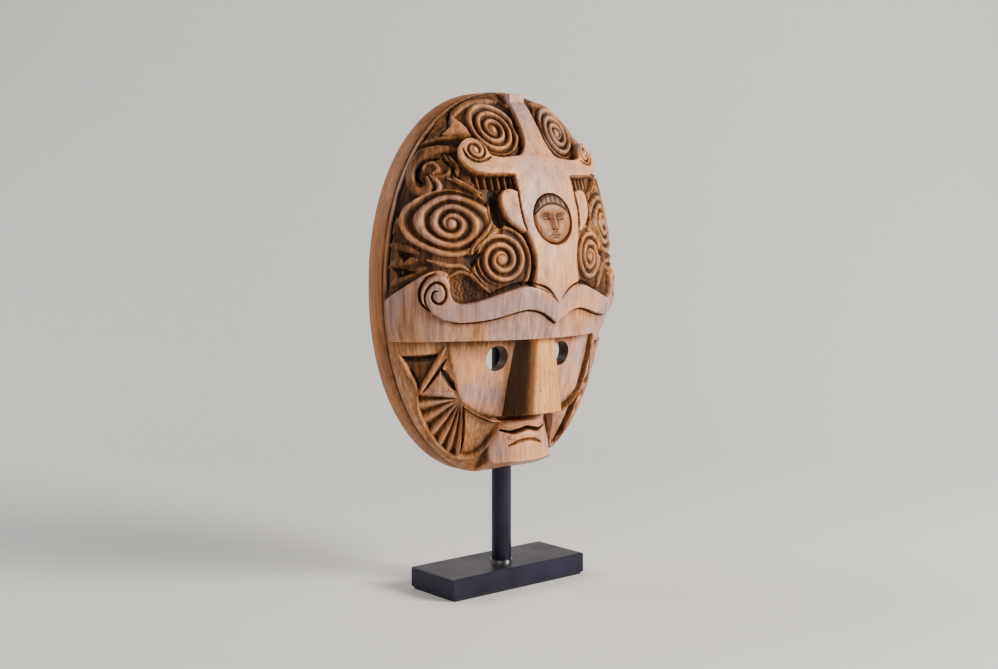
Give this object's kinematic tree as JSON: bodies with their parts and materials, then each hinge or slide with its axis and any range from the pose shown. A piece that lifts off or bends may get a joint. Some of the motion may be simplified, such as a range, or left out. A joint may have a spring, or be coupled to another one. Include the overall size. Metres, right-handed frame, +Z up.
{
  "type": "carved face mask on stand",
  "caption": "Hollow oval carved wooden face mask with scroll bands, a brow ledge and a wedge nose, turning on a round post with a flat steel foot.",
  "frame": {"origin": "centre of the flat underside of the foot", "axes": "+Z up, the mask looks along -Y, +X is on the viewer's right when facing it"},
  "size_m": [0.228, 0.1009, 0.3995],
  "materials": {
    "foot_paint": "satin black",
    "pad_rubber": "matte",
    "hardware_steel": "turned",
    "washer_nylon": "matte",
    "bush_brass": "turned",
    "batten_wood": "planed, unfinished",
    "mask_wood": "stained ground, waxed pale bands",
    "nose_wood": "waxed",
    "inlay_wood": "polished"
  },
  "bodies": {
    "stand": {"foot_slab": "foot_paint", "foot_pad": "pad_rubber", "foot_screw": "hardware_steel", "foot_washer": "hardware_steel", "post": "foot_paint", "post_collar": "hardware_steel", "pivot_pin": "hardware_steel"},
    "washer": {"thrust_washer": "washer_nylon"},
    "mask": {"mask_shell": "mask_wood", "nose_block": "nose_wood", "forehead_inlay": "inlay_wood", "batten": "batten_wood", "batten_screws": "hardware_steel", "pivot_bush": "bush_brass"}
  },
  "joints": [
    {"name": "mask_turn", "type": "hinge", "parent": "stand", "child": "washer", "pos_m": [0, -0.003, 0.234], "axis": [0, 0, 1], "continuous": true},
    {"name": "mask_lift", "type": "slide", "parent": "washer", "child": "mask", "axis": [0, 0, 1], "range_m": [0, 0.18]}
  ]
}
